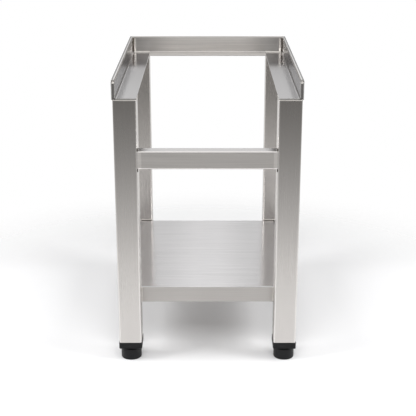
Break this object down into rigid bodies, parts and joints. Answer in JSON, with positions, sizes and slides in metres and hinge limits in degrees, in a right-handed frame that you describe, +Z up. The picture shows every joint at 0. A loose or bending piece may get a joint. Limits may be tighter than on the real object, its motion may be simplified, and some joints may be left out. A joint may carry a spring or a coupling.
{
  "type": "outdoor pizza oven table",
  "caption": "Open stainless steel stand for an outdoor pizza oven, with a U-shaped top frame with upstands, a front crossrail, a low shelf and levelling feet.",
  "frame": {"origin": "on the floor, under the middle of the stand's box, at the underside of the feet at rest", "axes": "+Z up; the open front faces -Y; +X is the viewer's right from the front"},
  "size_m": [0.4, 0.55, 0.645],
  "materials": {
    "leg_steel": "brushed along the leg",
    "sheet_steel": "fine brushed sheet",
    "shelf_steel": "fine brushed sheet",
    "black_plastic": "satin",
    "zinc_plate": "zinc plated"
  },
  "bodies": {
    "frame": {"leg_front_left": "leg_steel", "leg_front_right": "leg_steel", "leg_rear_left": "leg_steel", "leg_rear_right": "leg_steel", "leg_cap_front_left": "leg_steel", "leg_cap_front_right": "leg_steel", "leg_cap_rear_left": "leg_steel", "leg_cap_rear_right": "leg_steel", "side_upstand_left": "sheet_steel", "side_upstand_right": "sheet_steel", "back_upstand": "sheet_steel", "front_crossrail": "leg_steel", "side_rail_left": "leg_steel", "side_rail_right": "leg_steel", "lower_shelf": "shelf_steel", "shelf_stiffener": "shelf_steel", "leg_insert_front_left": "black_plastic", "leg_insert_front_right": "black_plastic", "leg_insert_rear_left": "black_plastic", "leg_insert_rear_right": "black_plastic", "foot_nuts": "zinc_plate"},
    "stud_front_left": {"foot_stud_front_left": "zinc_plate"},
    "pad_front_left": {"foot_pad_front_left": "black_plastic"},
    "stud_front_right": {"foot_stud_front_right": "zinc_plate"},
    "pad_front_right": {"foot_pad_front_right": "black_plastic"},
    "stud_rear_left": {"foot_stud_rear_left": "zinc_plate"},
    "pad_rear_left": {"foot_pad_rear_left": "black_plastic"},
    "stud_rear_right": {"foot_stud_rear_right": "zinc_plate"},
    "pad_rear_right": {"foot_pad_rear_right": "black_plastic"}
  },
  "joints": [
    {"name": "foot_height_front_left", "type": "slide", "parent": "frame", "child": "stud_front_left", "axis": [0, 0, -1], "range_m": [-0.0021, 0.024]},
    {"name": "foot_turn_front_left", "type": "hinge", "parent": "stud_front_left", "child": "pad_front_left", "pos_m": [-0.1735, -0.249, 0.013], "axis": [0, 0, -1], "range_deg": [-504, 5760]},
    {"name": "foot_height_front_right", "type": "slide", "parent": "frame", "child": "stud_front_right", "axis": [0, 0, -1], "range_m": [-0.0021, 0.024]},
    {"name": "foot_turn_front_right", "type": "hinge", "parent": "stud_front_right", "child": "pad_front_right", "pos_m": [0.1735, -0.249, 0.013], "axis": [0, 0, -1], "range_deg": [-504, 5760]},
    {"name": "foot_height_rear_left", "type": "slide", "parent": "frame", "child": "stud_rear_left", "axis": [0, 0, -1], "range_m": [-0.0021, 0.024]},
    {"name": "foot_turn_rear_left", "type": "hinge", "parent": "stud_rear_left", "child": "pad_rear_left", "pos_m": [-0.1735, 0.2485, 0.013], "axis": [0, 0, -1], "range_deg": [-504, 5760]},
    {"name": "foot_height_rear_right", "type": "slide", "parent": "frame", "child": "stud_rear_right", "axis": [0, 0, -1], "range_m": [-0.0021, 0.024]},
    {"name": "foot_turn_rear_right", "type": "hinge", "parent": "stud_rear_right", "child": "pad_rear_right", "pos_m": [0.1735, 0.2485, 0.013], "axis": [0, 0, -1], "range_deg": [-504, 5760]}
  ],
  "couplings": [
    {"joint": "foot_height_front_left", "follows": "foot_turn_front_left", "m_per_rad": 0.00023872},
    {"joint": "foot_height_front_right", "follows": "foot_turn_front_right", "m_per_rad": 0.00023872},
    {"joint": "foot_height_rear_left", "follows": "foot_turn_rear_left", "m_per_rad": 0.00023872},
    {"joint": "foot_height_rear_right", "follows": "foot_turn_rear_right", "m_per_rad": 0.00023872}
  ]
}
